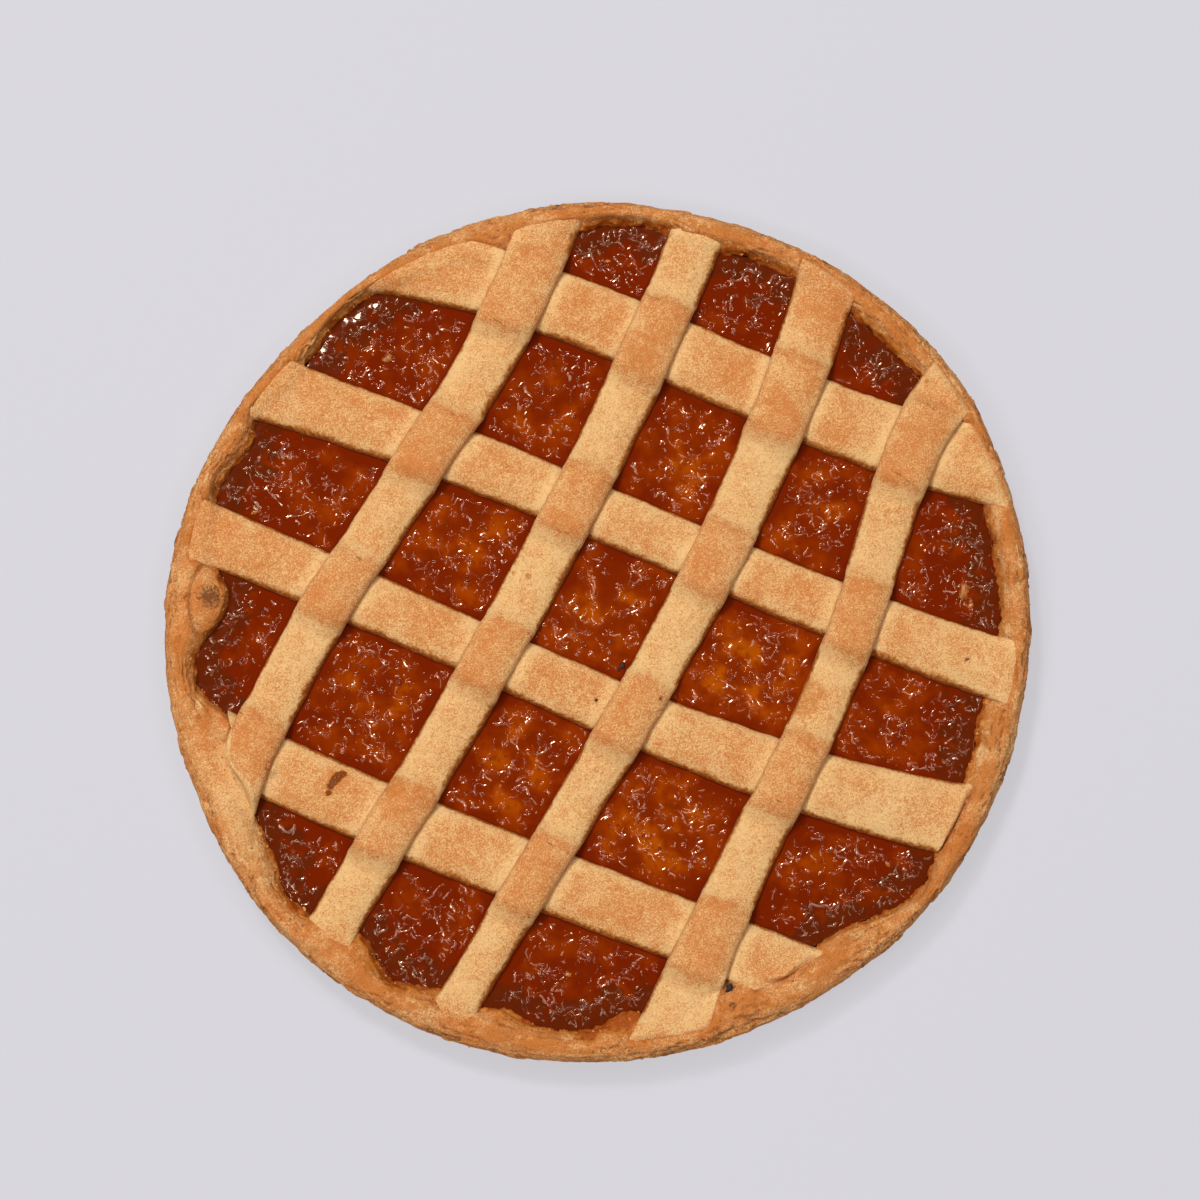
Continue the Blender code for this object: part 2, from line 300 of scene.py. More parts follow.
def buildStrip(strip):
    noise = Noise(100 + strip.seed)
    side, height = barSection(strips["around"])
    below = np.array([0.9, 0.3, -0.3, -0.9])
    side = np.concatenate([side, below])
    height = np.concatenate([height, np.zeros(4)])
    first, last = strip.ends
    s = np.linspace(first, last, round((last - first) / strips["step"]))[:, None]
    side = side[None, :]
    shift = (strip.reach(side, 0) - first) * (1.0 - smooth(first, first + strips["skew"], s))
    shift = shift + (strip.reach(side, 1) - last) * smooth(last - strips["skew"], last, s)
    along = s + shift
    x, y = strip.point(along, side)
    # the knife's wavering edge, and crumbs along it
    waver = noise.rough(x, y, 0.0, 14.0, 2) * 0.32 + noise.at(x, y, 5.0, 2.2) * 0.16
    x, y = strip.point(along, side, waver)
    under, thickness = strip.underside(x, y)
    swell = 0.3 * noise.rough(x, y, 9.0, 8.0, 2) + 0.07 * noise.at(x, y, 3.0, 1.6)
    z = under + height * (thickness + swell) + (height == 0.0) * -strips["sunk"]
    z = np.where(height > 0.0, mix(z - strips["sunk"] * 0.5, z, smooth(0.0, 0.5, height)), z)
    # the pressed ends sink into the rim, or stay proud of it
    toEnd = strip.inside(x, y)[1]
    level = crustLevel(x, y)
    proud = strip.proud(along)
    endLevel = level + mix(-0.7, 0.9 * smooth(-0.2, 1.6, toEnd) - 0.5, proud) - 1.0 * (1.0 - height)
    radius, azimuth = polar(x, y)
    overRim = radius - innerEdge(azimuth) - 1.0
    toFade = np.maximum(toEnd + overRim, 1.0)
    z = mix(z, endLevel, smooth(0.0, 1.0, np.clip(overRim / toFade, 0.0, 1.0)) * (height > 0.0))

    base = tart["jamLevel"] + tart["gap"]
    ragged = under - base + 0.8 * noise.rough(x, y, 14.0, 3.5, 3)
    raised = smooth(1.4, 3.3, ragged) * (radius < innerEdge(azimuth))
    if strip.crossed:
        ends = 0.6 * smooth(0.0, 4.0, overRim)
        # some upper ends brown right up from the last crossing
        browned = strip.shape.get("browned", 0.0) * smooth(-18.0, -4.0, overRim) * (along > 0.0)
        toast = 0.4 + 0.62 * np.maximum(raised, np.maximum(ends, browned))
    else:
        covered = np.zeros_like(x)
        for other in topStrips:
            away = -other.inside(x, y)[0] + 0.8 * noise.rough(x, y, 8.0, 3.0, 2)
            covered = np.maximum(covered, 1.0 - smooth(0.0, 5.5, away))
        # the left ends brown more than the right ones
        toast = 0.82 - 0.72 * covered
        toast = toast - 0.3 * smooth(70.0, 105.0, along) + 0.12 * smooth(-60.0, -105.0, along)
    toast = toast + 0.2 * noise.rough(x, y, 2.0, 22.0, 2) + 0.12 * noise.rough(x, y, 6.0, 5.0, 2)
    # the rounded edges brown less than the flat of the top
    toast = toast - 0.35 * smooth(0.5, 0.95, np.abs(side))
    onJam = (1.0 - smooth(0.5, 2.2, under - base)) * smooth(2.0, -1.0, radius - innerEdge(azimuth))
    # jam creeps up the sides, further on the ones towards the front; those face away from the key lamp, and
    # the wider dark band there is partly painted shade
    shadedSide = 0.5 - 0.5 * (side * strip.across[1] - 0.35 * side * strip.across[0])
    fromEdge = (1.0 - np.abs(side)) * strip.halfWidth(along)
    creep = mix(0.7, 2.5, np.clip(shadedSide, 0.0, 1.0)) * (1.0 + 0.6 * noise.rough(x, y, 1.0, 9.0, 3))
    soakAndShade = smooth(creep, 0.1 * creep, fromEdge) * onJam
    wet = np.zeros_like(x)
    for spotX, spotY, spotRadius, strength in strips["wet"]:
        away = np.hypot(x - spotX, y - spotY) / spotRadius + 0.35 * noise.rough(x, y, 12.0, spotRadius, 2)
        wet = np.maximum(wet, strength * smooth(1.15, 0.55, away))
    burnt = np.zeros_like(x)
    for spotX, spotY, spotRadius in strips["burns"]:
        away = np.hypot(x - spotX, y - spotY) / spotRadius
        burnt = np.maximum(burnt, smooth(1.3, 0.5, away))
    # distance to the cracks where the strip bends; the material darkens them with painted shade
    shadedCrack = np.full_like(x, 9.0)
    chance = np.random.default_rng(strip.seed)
    for other in strip.crossed:
        center = strip.crossing(other)
        if not first + 6.0 < center < last - 6.0:
            continue
        for way in (-1.0, 1.0):
            place = center + way * (other.halfWidth(0.0) + chance.uniform(0.2, 2.4))
            start, stop = sorted(chance.uniform(-1.3, 1.3, 2))
            reachOff = np.maximum(start - side, side - stop) * 8.0
            wander = noise.rough(x, y, 4.0, 6.0, 4) * 1.1
            apart = np.hypot(along - place + wander, np.maximum(reachOff, 0.0))
            shadedCrack = np.minimum(shadedCrack, apart)
    rows, columns = x.shape
    points = np.stack([x, y, z], axis=-1).reshape(-1, 3)
    faces = gridFaces(rows, columns)
    lastRow = (rows - 1) * columns
    faces.append(list(range(columns))[::-1])
    faces.append([lastRow + column for column in range(columns)])
    piece = makeMesh(strip.name + "_dough", points, faces, {
        "toast": np.clip(toast, -0.1, 1.3), "soakAndShade": soakAndShade, "shadedCrack": shadedCrack, "wet": wet, "burnt": burnt})
    fixNormals(piece)
    return piece


def fixNormals(piece):
    build = bmesh.new()
    build.from_mesh(piece.data)
    bmesh.ops.recalc_face_normals(build, faces=build.faces)
    build.to_mesh(piece.data)
    build.free()


# The crust: floor, wall and rim in one shell
crust = {
    "columns": 1200,
    # profile: (share from inner to outer edge, mm beyond it, height)
    "profile": [(0.0, -13.0, 5.0), (0.0, -4.0, 6.3), (0.0, -1.2, 8.6), (0.0, 0.0, 11.3),
                (0.0, 1.5, 14.4), (0.33, 0.0, 16.5), (0.46, 0.0, 17.3), (0.62, 0.0, 17.15),
                (0.8, 0.0, 16.5), (1.0, -0.8, 14.7), (1.0, -0.05, 12.6), (1.0, -0.1, 10.0),
                (1.0, -0.6, 6.5), (1.0, -2.0, 2.2), (1.0, -3.8, 0.0)],
    "rimRow": 0.43,
    "wallRow": 0.9,
    # cracks that run along the rim: (length, width across, depth, how rare, seed)
    "cracks": [(13.0, 2.6, 0.8, 0.1, 1), (7.0, 1.5, 0.45, 0.05, 2), (24.0, 1.9, 0.6, 0.12, 3)],
    "layerStep": 1.7,
    "layerDepth": 0.36,
    # jam boiled over the inner slope: first and last azimuth, strength, how far out
    "stains": [(42.0, 98.0, 1.0, 6.0), (267.0, 277.0, 1.4, 9.5), (252.0, 266.0, 0.5, 6.0),
               (146.0, 154.0, 0.9, 6.0), (300.0, 318.0, 0.6, 6.0), (20.0, 40.0, 0.5, 6.0),
               (160.0, 190.0, 0.5, 6.0), (220.0, 244.0, 0.95, 8.0)],
    # where a strip's end spreads over the rim: azimuth, half width, share
    "calmPatch": (204, 15, 1.0),
    "palePatch": (207, 16, 1.0),
    "flap": {"azimuth": 176.2, "radius": 115.7, "length": 25.5, "width": 13.6, "height": 1.3},
    # scorched places: x, y, radius
    "scorches": [(-116.4, 9.0, 3.7), (38.8, -107.0, 2.2), (40.2, -112.5, 1.3), (-112.0, -23.0, 1.2)],
}


# The profile as a fine table whose corners are rounded over about 1.6 mm. Lengths along it
# count from the point where jam and crust meet
def profileTable():
    share, away, z = (np.array(values) for values in zip(*crust["profile"]))
    meanInner = tart["radius"] - tart["rimWidth"]
    radius = meanInner + share * tart["rimWidth"] + away
    walked = np.concatenate([[0.0], np.cumsum(np.hypot(np.diff(radius), np.diff(z)))])
    fine = np.arange(0.0, walked[-1] + 0.05, 0.05)
    kernel = np.hanning(33)
    kernel /= kernel.sum()

    def rounded(values):
        line = np.interp(fine, walked, values)
        padded = np.concatenate([2 * line[0] - line[16:0:-1], line, 2 * line[-1] - line[-2:-18:-1]])
        return np.convolve(padded, kernel, mode="valid")

    start = walked[3]
    return fine - start, rounded(share), rounded(away), rounded(z), walked - start


def crustLevel(x, y):
    radius, azimuth = polar(x, y)
    _, share, away, level, _ = profileTable()
    out = share * tart["rimWidth"] + away
    upper = np.argmax(out)
    inner, outer = innerEdge(azimuth), outerEdge(azimuth)
    place = (radius - inner) / (outer - inner) * tart["rimWidth"]
    return np.interp(place, out[:upper], level[:upper]) + sumOfHumps(azimuth, tart["rimHollows"])


def buildCrust():
    noise = Noise(11)
    other = Noise(12)
    fine, share, away, level, marks = profileTable()
    # few rows on the floor, close ones over the rim, and wider ones down the lower wall
    rimEnd = marks[11]
    rows = np.concatenate([
        np.linspace(marks[0], marks[2], 6)[:-1],
        np.arange(marks[2], rimEnd, crust["rimRow"]),
        np.arange(rimEnd, marks[-1], crust["wallRow"]),
        [marks[-1]],
    ])
    t = rows[:, None]
    azimuth = (np.arange(crust["columns"]) * 360.0 / crust["columns"])[None, :]
    turn = np.radians(azimuth)
    rowShare, rowAway, rowLevel = (np.interp(rows, fine, values)[:, None] for values in (share, away, level))
    inner, outer = innerEdge(azimuth), outerEdge(azimuth)
    radius = inner + (outer - inner) * rowShare + rowAway
    # which way the surface faces in the profile's own plane
    meanRadius = share * tart["rimWidth"] + away
    slopeRadius = np.gradient(meanRadius, fine)
    slopeLevel = np.gradient(level, fine)
    length = np.hypot(slopeRadius, slopeLevel)
    faceOut = np.interp(rows, fine, -slopeLevel / length)[:, None]
    faceUp = np.interp(rows, fine, slopeRadius / length)[:, None]
    x, y = radius * np.cos(turn), radius * np.sin(turn)
    z = rowLevel + 0.0 * x

    onRim = smooth(-1.5, 3.0, t)
    onWall = smooth(9.0, 12.0, t)
    stand = smooth(0.0, 3.0, z)
    bump = 0.45 * noise.rough(x, y, z, 11.0, 2) * onRim
    bump = bump + 0.27 * other.rough(x, y, z, 3.6, 4) * smooth(-4.0, 0.5, t)
    bump = bump * mix(1.0, 0.36, smooth(7.5, 10.5, t))
    flap = crust["flap"]
    along = np.radians((azimuth - flap["azimuth"] + 180.0) % 360.0 - 180.0) * flap["radius"]
    shape = np.hypot(along / (flap["length"] / 2.0), (radius - flap["radius"]) / (flap["width"] / 2.0))
    shape = shape + 0.08 * noise.rough(x, y, 3.0, 8.0, 2)
    leaf = 1.0 - smooth(0.86, 1.0, shape)
    # smooth places: the flap and the patch where a strip's end spreads
    calm = np.maximum(leaf, sumOfHumps(azimuth, [crust["calmPatch"]]) * smooth(13.0, 8.0, t))
    bump = bump * (1.0 - 0.6 * calm)
    # crumbly inner lip
    lip = np.exp(-(((t - 1.2) / 2.6) ** 2))
    bump = bump + lip * (0.95 * noise.rough(x, y, z + 50.0, 5.0, 3) + 0.5 * other.at(x, y, z, 1.5))
    # dark: painted shade, laid as a darker colour in the cracks, along the flap's outline and in the strips'
    # seams
    dark = np.zeros_like(x)
    for long, wide, depth, rare, seed in crust["cracks"]:
        thin = wide / long
        field = noise.rough(x * thin, y * thin, t + seed * 17.0, wide, 3)
        field = field + 0.12 * other.rough(x, y, seed * 5.0, 1.6, 2)
        openShare = smooth(rare, rare + 0.3, other.rough(x, y, seed * 13.0 + t, long, 2) + 0.03 * (t - 7.0))
        openShare = openShare * smooth(2.0, 4.5, t) * (1.0 - calm)
        line = np.exp(-((field / 0.1) ** 2)) * openShare
        step = smooth(-0.3, 0.3, field) * openShare
        bump = bump - depth * line + 0.45 * depth * step
        dark = np.maximum(dark, line * min(1.0, depth * 1.5))
    # baked layers of the side, lapping over each other
    layer = t / crust["layerStep"] + 0.75 * noise.rough(x, y, z * 0.3, 30.0, 3)
    ledge = (layer - np.floor(layer))
    uneven = np.clip(0.75 + 0.8 * other.rough(x, y, z + 80.0, 9.0, 2), 0.15, 1.5)
    lap = smooth(0.0, 0.82, ledge) - smooth(0.86, 1.0, ledge) - 0.4
    bump = bump + onWall * stand * crust["layerDepth"] * uneven * lap
    bump = bump * stand
    radius = radius + faceOut * bump
    z = z + faceUp * bump * smooth(1.0, 6.0, z)
    rim = smooth(tart["jamLevel"], tart["rimTop"], rowLevel)
    z = z + rim * sumOfHumps(azimuth, tart["rimHollows"])
    z = z + smooth(-1.5, 1.0, t) * flap["height"] * (1.0 - smooth(0.9, 1.02, shape))
    # the flap's outline: a shallow groove, darkened with painted shadow
    flapEdge = np.exp(-(((shape - 1.07) / 0.08) ** 2)) * smooth(1.0, 3.5, t)
    z = z - 1.1 * flapEdge
    dark = np.maximum(dark, 1.5 * flapEdge)
    x, y = radius * np.cos(turn), radius * np.sin(turn)

    # strips are pressed into the rim
    for strip in allStrips:
        beside, toEnd = strip.inside(x, y)
        proud = strip.proud(strip.locate(x, y)[0])
        covered = smooth(-0.7, 0.3, beside) * smooth(mix(0.5, -1.2, proud), mix(3.5, 0.5, proud), toEnd)
        under, _ = strip.underside(x, y)
        z = mix(z, np.minimum(z, under - 0.25), covered * (rowLevel > 9.0))
        # seams where the strips' edges and ends press into the rim: a dip, darkened with painted shade
        seam = smooth(-1.6, -0.4, beside) * smooth(0.9, 0.0, beside) * (toEnd > 0.0) * (1.0 - proud)
        outside = smooth(-1.6, -0.3, toEnd) * smooth(0.5, 0.0, toEnd) * (beside > -0.5) * proud
        seam = np.maximum(seam * smooth(0.0, 5.0, toEnd), outside) * (rowLevel > 13.0) * (t < 16.0)
        z = z - 0.5 * seam
        dark = np.maximum(dark, 0.55 * seam)
    z = np.minimum(z, tart["rimTop"] + 1.9)

    stain = smooth(4.2, 0.2, t + 1.3 * noise.rough(x, y, 7.0, 7.0, 3)) * (rowLevel > 8.0)
    for start, stop, strength, reach in crust["stains"]:
        span = smooth(start - 3.0, start + 3.0, azimuth) * smooth(stop + 3.0, stop - 3.0, azimuth)
        wide = smooth(reach, 0.25 * reach, t + 2.2 * noise.rough(x, y, 17.0, 9.0, 3))
        stain = np.maximum(stain, strength * span * wide * (rowLevel > 8.0))
    toast = 0.62 + 0.3 * noise.rough(x, y, z, 24.0, 3) + 0.22 * other.rough(x, y, z, 5.0, 2)
    toast = toast - 0.95 * sumOfHumps(azimuth, [crust["palePatch"]]) * smooth(13.0, 8.0, t) - 0.12 * onWall
    # the crest of the inner lip stays paler
    toast = toast - 0.45 * np.exp(-(((t - 5.0 + 1.5 * noise.rough(x, y, 40.0, 8.0, 2)) / 1.3) ** 2))
    toast = toast + 0.4 * leaf
    scorch = np.zeros_like(x)
    for spotX, spotY, spotRadius in crust["scorches"]:
        apart = np.hypot(x - spotX, y - spotY) / spotRadius
        scorch = np.maximum(scorch, smooth(1.5, 0.1, apart + 0.25 * noise.rough(x, y, 1.0, 2.5, 2)))
    rowsCount, columns = x.shape
    points = np.stack([x, y, z], axis=-1).reshape(-1, 3)
    faces = gridFaces(rowsCount, columns)
    faces.append(list(range(columns)))
    lastRow = (rowsCount - 1) * columns
    faces.append([lastRow + column for column in range(columns)][::-1])
    piece = makeMesh("crust_shell", points, faces, {
        "toast": np.clip(toast, 0.0, 1.3), "grooveShade": dark, "stain": np.clip(stain, 0.0, 1.0),
        "scorch": scorch, "layer": layer, "wall": onWall + 0.0 * x, "calm": calm,
        "crumbShare": np.clip(lip * 1.2 + dark * 0.6 + 0.12 * onRim, 0.0, 1.0) * (z > 12.0),
        "flakeShare": onWall * smooth(24.0, 18.0, t) + 0.0 * x})
    fixNormals(piece)
    return piece


# Cooked jam between the crust and the strips
jam = {
    "grid": 0.75,
    "sink": 0.15,
    "meniscus": 0.2,
    "meniscusReach": 2.4,
    "ridges": [(9.0, 0.13, 0.16, 21), (5.4, 0.15, 0.1, 22)],
}


def stripGap(x, y):
    away = np.full_like(x, 60.0)
    for strip in allStrips:
        away = np.minimum(away, -np.minimum(*strip.inside(x, y)))
    return away


def jamSurface(x, y):
    noise = Noise(31)
    radius, azimuth = polar(x, y)
    toRim = innerEdge(azimuth) - radius
    toStrip = stripGap(x, y)
    toEdge = np.minimum(toStrip, toRim)
    openShare = smooth(1.2, 4.5, toEdge + 1.2 * noise.rough(x, y, 0.0, 9.0, 2))
    patch = smooth(-0.25, 0.35, noise.rough(x, y, 4.0, 17.0, 2))
    z = tart["jamLevel"] - jam["sink"] + 0.2 * noise.rough(x, y, 8.0, 13.0, 2)
    for size, halfWidth, height, seed in jam["ridges"]:
        warpX = x + 1.6 * noise.at(x, y, seed + 0.5, size * 0.7)
        warpY = y + 1.6 * noise.at(x, y, seed + 9.5, size * 0.7)
        line = noise.at(warpX, warpY, seed * 3.0, size)
        z = z + height * np.exp(-((line / halfWidth) ** 2)) * openShare * patch
    creep = jam["meniscus"] * (1.0 + 0.9 * noise.rough(x, y, 11.0, 12.0, 2))
    z = z + creep * np.exp(-np.clip(toStrip, 0.0, None) / jam["meniscusReach"]) * (toStrip > -2.0)
    rimZone = smooth(11.0, 2.0, toRim + 3.0 * noise.rough(x, y, 2.0, 12.0, 2))
    z = z + rimZone * (0.5 + 0.22 * noise.rough(x, y, 6.0, 3.2, 3))
    return z, toStrip, toRim


def buildJam():
    reach = tart["radius"] - tart["rimWidth"] + 4.0
    count = int(2.0 * reach / jam["grid"])
    ticks = (np.arange(count) - (count - 1) / 2.0) * jam["grid"]
    x, y = np.meshgrid(ticks, ticks, indexing="ij")
    radius, azimuth = polar(x, y)
    kept = radius < innerEdge(azimuth) + 1.6
    z, toStrip, toRim = jamSurface(x, y)
    number = np.full(x.shape, -1)
    number[kept] = np.arange(kept.sum())
    corners = np.stack([number[:-1, :-1], number[1:, :-1], number[1:, 1:], number[:-1, 1:]], axis=-1)
    faces = corners.reshape(-1, 4)
    faces = faces[(faces >= 0).all(axis=1)].tolist()
    points = np.stack([x[kept], y[kept], z[kept]], axis=-1)
    bubbleShare = smooth(2.5, 5.0, np.minimum(toStrip, toRim))[kept]
    # thinner jam, with the light crust showing through
    sunny = 0.3 * smooth(140.0, -60.0, np.hypot(x - 45.0, y + 35.0)) - 0.14
    sunny = sunny - 0.4 * smooth(70.0, 116.0, radius)
    piece = makeMesh("jam_filling", points, faces, {
        "sunny": sunny[kept],
        "toStrip": np.clip(toStrip, -1.0, 20.0)[kept], "toRim": np.clip(toRim, -4.0, 40.0)[kept],
        "bubbleShare": bubbleShare})
    # close the jam below with a flat underside
    build = bmesh.new()
    build.from_mesh(piece.data)
    for vert in [vert for vert in build.verts if not vert.link_faces]:
        build.verts.remove(vert)
    rim = [edge for edge in build.edges if edge.is_boundary]
    skirt = bmesh.ops.extrude_edge_only(build, edges=rim)["geom"]
    lower = [part for part in skirt if isinstance(part, bmesh.types.BMVert)]
    for vert in lower:
        vert.co.x *= 0.93
        vert.co.y *= 0.93
        vert.co.z = (tart["floor"] + tart["gap"]) * mm
    bmesh.ops.holes_fill(build, edges=[edge for edge in build.edges if edge.is_boundary], sides=0)
    bmesh.ops.recalc_face_normals(build, faces=build.faces)
    build.to_mesh(piece.data)
    build.free()
    piece.data.shade_smooth()
    return piece


# Single drops of burnt sugar and bits of fruit: x, y, length, width, turn
lumps = {
    "burnt": [(7.4, -11.3, 2.3, 1.6, 50.0), (-0.4, -22.0, 1.1, 0.8, 20.0), (6.2, -12.8, 1.3, 1.0, 0.0),
              (39.3, -107.7, 3.0, 2.0, 60.0)],
    "fruit": [(110.8, 11.0, 5.6, 2.8, 82.0), (112.6, 6.6, 2.0, 1.2, 40.0), (-64.0, 82.1, 3.4, 2.3, 30.0),
              (-104.0, 35.0, 2.0, 1.2, 30.0), (-98.0, -42.0, 2.4, 1.4, 60.0), (87.0, -71.0, 2.2, 1.2, 140.0),
              (-9.0, -104.0, 2.6, 1.4, 10.0), (3.0, 112.0, 2.0, 1.2, 170.0)],
}


# Height of whatever lies uppermost at a point
def topLevel(x, y):
    x, y = np.array([x]), np.array([y])
    radius, azimuth = polar(x, y)
    level = jamSurface(x, y)[0][0] if radius[0] < innerEdge(azimuth)[0] else crustLevel(x, y)[0]
    for strip in allStrips:
        if min(strip.inside(x, y))[0] > 0.0:
            under, thickness = strip.underside(x, y)
            level = max(level, (under + thickness)[0])
    return level


def buildLumps(name, places, seed):
    noise = Noise(seed, 16)
    turns, rings = 20, 10
    across = np.linspace(0.0, 2.0 * math.pi, turns, endpoint=False)[None, :]
    down = np.linspace(0.02, math.pi - 0.02, rings)[:, None]
    points, faces = [], []
    for x, y, length, width, turn in places:
        aim = math.radians(turn)
        side = np.sin(down) * np.cos(across) * length / 2.0
        depth = np.sin(down) * np.sin(across) * width / 2.0
        tall = np.cos(down) * width * 0.24 + 0.0 * across
        grow = 1.0 + 0.5 * noise.rough(side + x, depth + y, tall, 1.0, 2)
        side, depth = side * grow, depth * grow
        placeX = x + side * math.cos(aim) - depth * math.sin(aim)
        placeY = y + side * math.sin(aim) + depth * math.cos(aim)
        floor = topLevel(x, y)
        start = sum(len(part) for part in points)
        points.append(np.stack([placeX, placeY, floor + 0.1 + tall], axis=-1).reshape(-1, 3))
        local = np.array(gridFaces(rings, turns)) + start
        faces += local.tolist()
        faces.append([start + column for column in range(turns)][::-1])
        faces.append([start + (rings - 1) * turns + column for column in range(turns)])
    piece = makeMesh(name, np.concatenate(points), faces, {})
    fixNormals(piece)
    return piece


def addNode(tree, kind, settings=None, links=None):
    node = tree.nodes.new(kind)
    for key, value in (settings or {}).items():
        setattr(node, key, value)
    for key, value in (links or {}).items():
        socket = node.inputs[key]
        if isinstance(value, bpy.types.NodeSocket):
            tree.links.new(value, socket)
        else:
            socket.default_value = value
    return node


# A noise's colour turned into a shift, up to half of reach each way
def shiftFrom(tree, noise, reach):
    centered = addNode(tree, "ShaderNodeVectorMath", {"operation": "SUBTRACT"}, {
        0: noise.outputs["Color"], 1: (0.5, 0.5, 0.5)})
    return addNode(tree, "ShaderNodeVectorMath", {"operation": "SCALE"}, {
        0: centered.outputs[0], "Scale": reach}).outputs[0]


# Crumbs on the rim, flakes on the wall and bubbles in the jam, as lumpy balls on a surface.
# share is the attribute that says where, density is per square metre and lengths are in mm
scattered = {
    "rim_crumbs": {"share": "crumbShare", "density": 90000.0, "smallest": 0.18, "largest": 0.55,
                   "lumps": 0.5, "flat": 0.8, "aligned": False, "levels": 1, "seed": 3},
    "side_flakes": {"share": "flakeShare", "density": 9000.0, "smallest": 0.4, "largest": 1.1,
                    "lumps": 0.4, "flat": 0.22, "aligned": True, "levels": 1, "seed": 4},
    "jam_bubbles": {"share": "bubbleShare", "density": 14000.0, "smallest": 0.25, "largest": 0.7,
                    "lumps": 0.1, "flat": 0.7, "aligned": True, "levels": 2, "seed": 6},
}


def scatterTree(name, kind, material):
    tree = bpy.data.node_groups.new(name, "GeometryNodeTree")
    tree.interface.new_socket("Surface", in_out="INPUT", socket_type="NodeSocketGeometry")
    for label in ("Density", "Smallest", "Largest", "Lumps"):
        tree.interface.new_socket(label, in_out="INPUT", socket_type="NodeSocketFloat")
    tree.interface.new_socket("Seed", in_out="INPUT", socket_type="NodeSocketInt")
    tree.interface.new_socket("Bits", in_out="OUTPUT", socket_type="NodeSocketGeometry")
    given = addNode(tree, "NodeGroupInput").outputs
    weight = addNode(tree, "GeometryNodeInputNamedAttribute", {"data_type": "FLOAT"}, {
        "Name": kind["share"]}).outputs[0]
    points = addNode(tree, "GeometryNodeDistributePointsOnFaces", {}, {
        "Mesh": given["Surface"], "Density": times(tree, weight, given["Density"]), "Seed": given["Seed"]})
    ball = addNode(tree, "GeometryNodeMeshIcoSphere", {}, {"Radius": 1.0, "Subdivisions": kind["levels"]})
    size = addNode(tree, "FunctionNodeRandomValue", {"data_type": "FLOAT"}, {
        2: given["Smallest"], 3: given["Largest"], "Seed": given["Seed"]})
    stretch = addNode(tree, "FunctionNodeRandomValue", {"data_type": "FLOAT_VECTOR"}, {
        0: (0.7, 0.6, kind["flat"] * 0.8), 1: (1.5, 1.1, kind["flat"] * 1.2), "Seed": 5})
    scale = addNode(tree, "ShaderNodeVectorMath", {"operation": "SCALE"}, {
        0: stretch.outputs[0], "Scale": size.outputs[1]})
    if kind["aligned"]:
        turned = points.outputs["Rotation"]
    else:
        turned = addNode(tree, "FunctionNodeRandomValue", {"data_type": "FLOAT_VECTOR"}, {
            0: (0.0, 0.0, 0.0), 1: (0.4, 0.4, 6.28), "Seed": 9}).outputs[0]
    placed = addNode(tree, "GeometryNodeInstanceOnPoints", {}, {
        "Points": points.outputs["Points"], "Instance": ball.outputs["Mesh"],
        "Rotation": turned, "Scale": scale.outputs[0]})
    real = addNode(tree, "GeometryNodeRealizeInstances", {}, {"Geometry": placed.outputs[0]})
    grain = addNode(tree, "ShaderNodeTexNoise", {}, {"Scale": 1.0 / (0.9 * mm), "Detail": 1.0})
    lumpy = addNode(tree, "GeometryNodeSetPosition", {}, {
        "Geometry": real.outputs[0], "Offset": shiftFrom(tree, grain, given["Lumps"])})
    shaded = addNode(tree, "GeometryNodeSetShadeSmooth", {}, {"Geometry": lumpy.outputs[0]})
    dressed = addNode(tree, "GeometryNodeSetMaterial", {}, {
        "Geometry": shaded.outputs[0], "Material": material})
    addNode(tree, "NodeGroupOutput", {}, {"Bits": dressed.outputs[0]})
    return tree


def scatter(name, surface, material):
    kind = scattered[name]
    tree = scatterTree(name + "_tree", kind, material)
    values = {"Density": kind["density"], "Smallest": kind["smallest"] * mm,
              "Largest": kind["largest"] * mm, "Lumps": kind["lumps"] * mm, "Seed": kind["seed"]}
    carrier = bpy.data.objects.new(name, surface.data)
    bpy.context.scene.collection.objects.link(carrier)
    modifier = carrier.modifiers.new("scatter", "NODES")
    modifier.node_group = tree
    for item in tree.interface.items_tree:
        if item.in_out == "INPUT" and item.name in values:
            modifier[item.identifier] = values[item.name]
    shown = carrier.evaluated_get(bpy.context.evaluated_depsgraph_get())
    mesh = bpy.data.meshes.new_from_object(shown)
    mesh.name = name
    carrier.modifiers.clear()
    carrier.data = mesh
    return carrier


def linear(hexColor):
    channels = [int(hexColor[start:start + 2], 16) / 255.0 for start in (1, 3, 5)]
    return tuple(c / 12.92 if c <= 0.04045 else ((c + 0.055) / 1.055) ** 2.4 for c in channels) + (1.0,)


def newMaterial(name):
    material = bpy.data.materials.new(name)
    material.use_nodes = True
    tree = material.node_tree
    return material, tree, tree.nodes["Principled BSDF"]


def perMetre(sizeInMm):
    return 1.0 / (sizeInMm * mm)


def attribute(tree, name):
    return addNode(tree, "ShaderNodeAttribute", {"attribute_name": name}).outputs["Fac"]


def ramp(tree, value, low, high, toLow=0.0, toHigh=1.0):
    return addNode(tree, "ShaderNodeMapRange", {"interpolation_type": "SMOOTHSTEP"}, {
        "Value": value, "From Min": low, "From Max": high,
        "To Min": toLow, "To Max": toHigh}).outputs["Result"]


def combine(tree, operation, first, second):
    return addNode(tree, "ShaderNodeMath", {"operation": operation}, {0: first, 1: second}).outputs[0]


def times(tree, first, second):
    return combine(tree, "MULTIPLY", first, second)


def plus(tree, first, second):
    return combine(tree, "ADD", first, second)


def minus(tree, first, second):
    return combine(tree, "SUBTRACT", first, second)


# Sockets 6 and 7 of a Mix node set to RGBA are its two colours, and output 2 is the blend
def blendColor(tree, share, first, second):
    return addNode(tree, "ShaderNodeMix", {"data_type": "RGBA"}, {0: share, 6: first, 7: second}).outputs[2]


